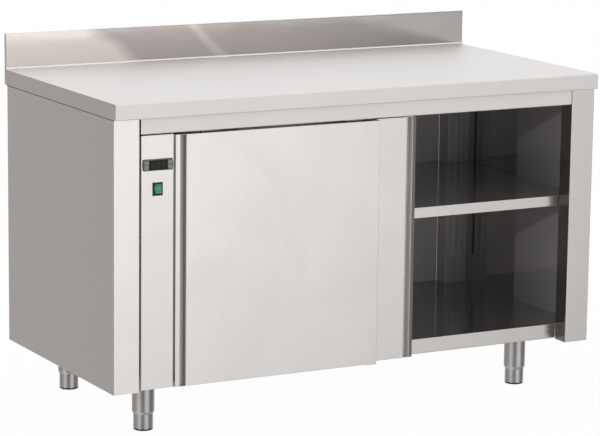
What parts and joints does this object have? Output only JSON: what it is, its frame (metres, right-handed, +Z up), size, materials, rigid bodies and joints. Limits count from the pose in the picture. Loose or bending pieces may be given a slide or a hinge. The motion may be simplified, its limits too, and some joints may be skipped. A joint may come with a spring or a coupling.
{
  "type": "plate warmer cabinet",
  "caption": "Heated stainless steel base cabinet with a worktop and upstand, bypass sliding doors, an inner shelf, a digital controller and adjustable feet.",
  "frame": {"origin": "on the floor, below the middle of the worktop's outline", "axes": "+X to the right along the doors, +Y to the back, towards the upstand, +Z up"},
  "size_m": [1.4, 0.7, 0.945],
  "materials": {
    "outer_steel": "satin, finely brushed",
    "inner_steel": "glossy cold-rolled",
    "plain_sheet": "plain galvanised sheet",
    "leg_steel": "fine brushed round tube",
    "foot_plastic": "matt black",
    "wheel_nylon": "natural nylon",
    "guide_nylon": "dark nylon",
    "button_grey": "satin",
    "bezel_grey": "satin",
    "display_black": "smooth dark window",
    "switch_black": "smooth",
    "rocker_green": "smooth, tinted",
    "track_aluminium": "mill finish",
    "stop_rubber": "matt",
    "insulation": "mineral wool board",
    "fan_black": "matt",
    "heater_steel": "heat-darkened tube",
    "terminal_cream": "matt",
    "gland_black": "satin",
    "screw_steel": "plain"
  },
  "bodies": {
    "cabinet": {"worktop": "outer_steel", "side_panel_left": "outer_steel", "side_panel_right": "outer_steel", "post_front_left": "outer_steel", "post_front_right": "outer_steel", "top_fascia": "outer_steel", "control_panel": "outer_steel", "post_rear_left": "inner_steel", "post_rear_right": "inner_steel", "back_panel": "inner_steel", "partition_panel": "inner_steel", "ceiling_panel": "inner_steel", "floor_panel": "inner_steel", "shelf_racks": "inner_steel", "shelf_clips": "inner_steel", "air_grilles": "inner_steel", "worktop_stiffeners": "plain_sheet", "base_rails": "plain_sheet", "service_cover": "plain_sheet", "leg_sleeves": "leg_steel", "controller_housing": "bezel_grey", "display_window": "display_black", "switch_frame": "switch_black", "door_track": "track_aluminium", "track_stops": "stop_rubber", "bottom_guide": "guide_nylon", "fan_housing": "fan_black", "heater_element": "heater_steel", "terminal_block": "terminal_cream", "cable_gland": "gland_black", "cabinet_screws": "screw_steel"},
    "front_door": {"front_door_skin": "outer_steel", "front_door_liner": "inner_steel", "front_door_core": "insulation", "front_door_grip": "outer_steel", "front_door_hangers": "plain_sheet"},
    "rear_door": {"rear_door_skin": "outer_steel", "rear_door_liner": "inner_steel", "rear_door_core": "insulation", "rear_door_grip": "outer_steel", "rear_door_hangers": "plain_sheet"},
    "shelf": {"shelf": "inner_steel"},
    "rocker": {"rocker": "rocker_green"},
    "fan_rotor": {"fan_rotor": "fan_black"},
    "front_door_wheel_left": {"front_door_wheel_left": "wheel_nylon"},
    "front_door_wheel_right": {"front_door_wheel_right": "wheel_nylon"},
    "rear_door_wheel_left": {"rear_door_wheel_left": "wheel_nylon"},
    "rear_door_wheel_right": {"rear_door_wheel_right": "wheel_nylon"},
    "button_up": {"button_up": "button_grey"},
    "button_down": {"button_down": "button_grey"},
    "button_set": {"button_set": "button_grey"},
    "button_power": {"button_power": "button_grey"},
    "foot_front_left": {"foot_front_left": "leg_steel", "foot_pad_front_left": "foot_plastic"},
    "foot_front_right": {"foot_front_right": "leg_steel", "foot_pad_front_right": "foot_plastic"},
    "foot_rear_left": {"foot_rear_left": "leg_steel", "foot_pad_rear_left": "foot_plastic"},
    "foot_rear_right": {"foot_rear_right": "leg_steel", "foot_pad_rear_right": "foot_plastic"}
  },
  "joints": [
    {"name": "front_door_slide", "type": "slide", "parent": "cabinet", "child": "front_door", "axis": [1, 0, 0], "range_m": [0, 0.525]},
    {"name": "rear_door_slide", "type": "slide", "parent": "cabinet", "child": "rear_door", "axis": [1, 0, 0], "range_m": [-0.096, 0.459]},
    {"name": "front_door_wheel_left_spin", "type": "hinge", "parent": "front_door", "child": "front_door_wheel_left", "pos_m": [-0.4315, -0.32885, 0.7936], "axis": [0, 1, 0], "continuous": true},
    {"name": "front_door_wheel_right_spin", "type": "hinge", "parent": "front_door", "child": "front_door_wheel_right", "pos_m": [-0.024, -0.32885, 0.7936], "axis": [0, 1, 0], "continuous": true},
    {"name": "rear_door_wheel_left_spin", "type": "hinge", "parent": "rear_door", "child": "rear_door_wheel_left", "pos_m": [-0.365, -0.30385, 0.7936], "axis": [0, 1, 0], "continuous": true},
    {"name": "rear_door_wheel_right_spin", "type": "hinge", "parent": "rear_door", "child": "rear_door_wheel_right", "pos_m": [0.0695, -0.30385, 0.7936], "axis": [0, 1, 0], "continuous": true},
    {"name": "shelf_lift", "type": "slide", "parent": "cabinet", "child": "shelf", "axis": [0, 0, 1], "range_m": [0, 0.15]},
    {"name": "foot_front_left_screw", "type": "slide", "parent": "cabinet", "child": "foot_front_left", "axis": [0, 0, 1], "range_m": [-0.035, 0.018]},
    {"name": "foot_front_right_screw", "type": "slide", "parent": "cabinet", "child": "foot_front_right", "axis": [0, 0, 1], "range_m": [-0.035, 0.018]},
    {"name": "foot_rear_left_screw", "type": "slide", "parent": "cabinet", "child": "foot_rear_left", "axis": [0, 0, 1], "range_m": [-0.035, 0.018]},
    {"name": "foot_rear_right_screw", "type": "slide", "parent": "cabinet", "child": "foot_rear_right", "axis": [0, 0, 1], "range_m": [-0.035, 0.018]},
    {"name": "button_up_press", "type": "slide", "parent": "cabinet", "child": "button_up", "axis": [0, 1, 0], "range_m": [0, 0.0012], "stiffness_N_per_m": 800},
    {"name": "button_down_press", "type": "slide", "parent": "cabinet", "child": "button_down", "axis": [0, 1, 0], "range_m": [0, 0.0012], "stiffness_N_per_m": 800},
    {"name": "button_set_press", "type": "slide", "parent": "cabinet", "child": "button_set", "axis": [0, 1, 0], "range_m": [0, 0.0012], "stiffness_N_per_m": 800},
    {"name": "button_power_press", "type": "slide", "parent": "cabinet", "child": "button_power", "axis": [0, 1, 0], "range_m": [0, 0.0012], "stiffness_N_per_m": 800},
    {"name": "rocker_tilt", "type": "hinge", "parent": "cabinet", "child": "rocker", "pos_m": [-0.58125, -0.334, 0.6335], "axis": [1, 0, 0], "range_deg": [0, 14]},
    {"name": "fan_rotor_spin", "type": "hinge", "parent": "cabinet", "child": "fan_rotor", "pos_m": [-0.545, 0, 0.29], "axis": [1, 0, 0], "continuous": true}
  ],
  "couplings": [
    {"joint": "front_door_wheel_left_spin", "follows": "front_door_slide", "rad_per_m": 100},
    {"joint": "front_door_wheel_right_spin", "follows": "front_door_slide", "rad_per_m": 100},
    {"joint": "rear_door_wheel_left_spin", "follows": "rear_door_slide", "rad_per_m": 100},
    {"joint": "rear_door_wheel_right_spin", "follows": "rear_door_slide", "rad_per_m": 100}
  ]
}
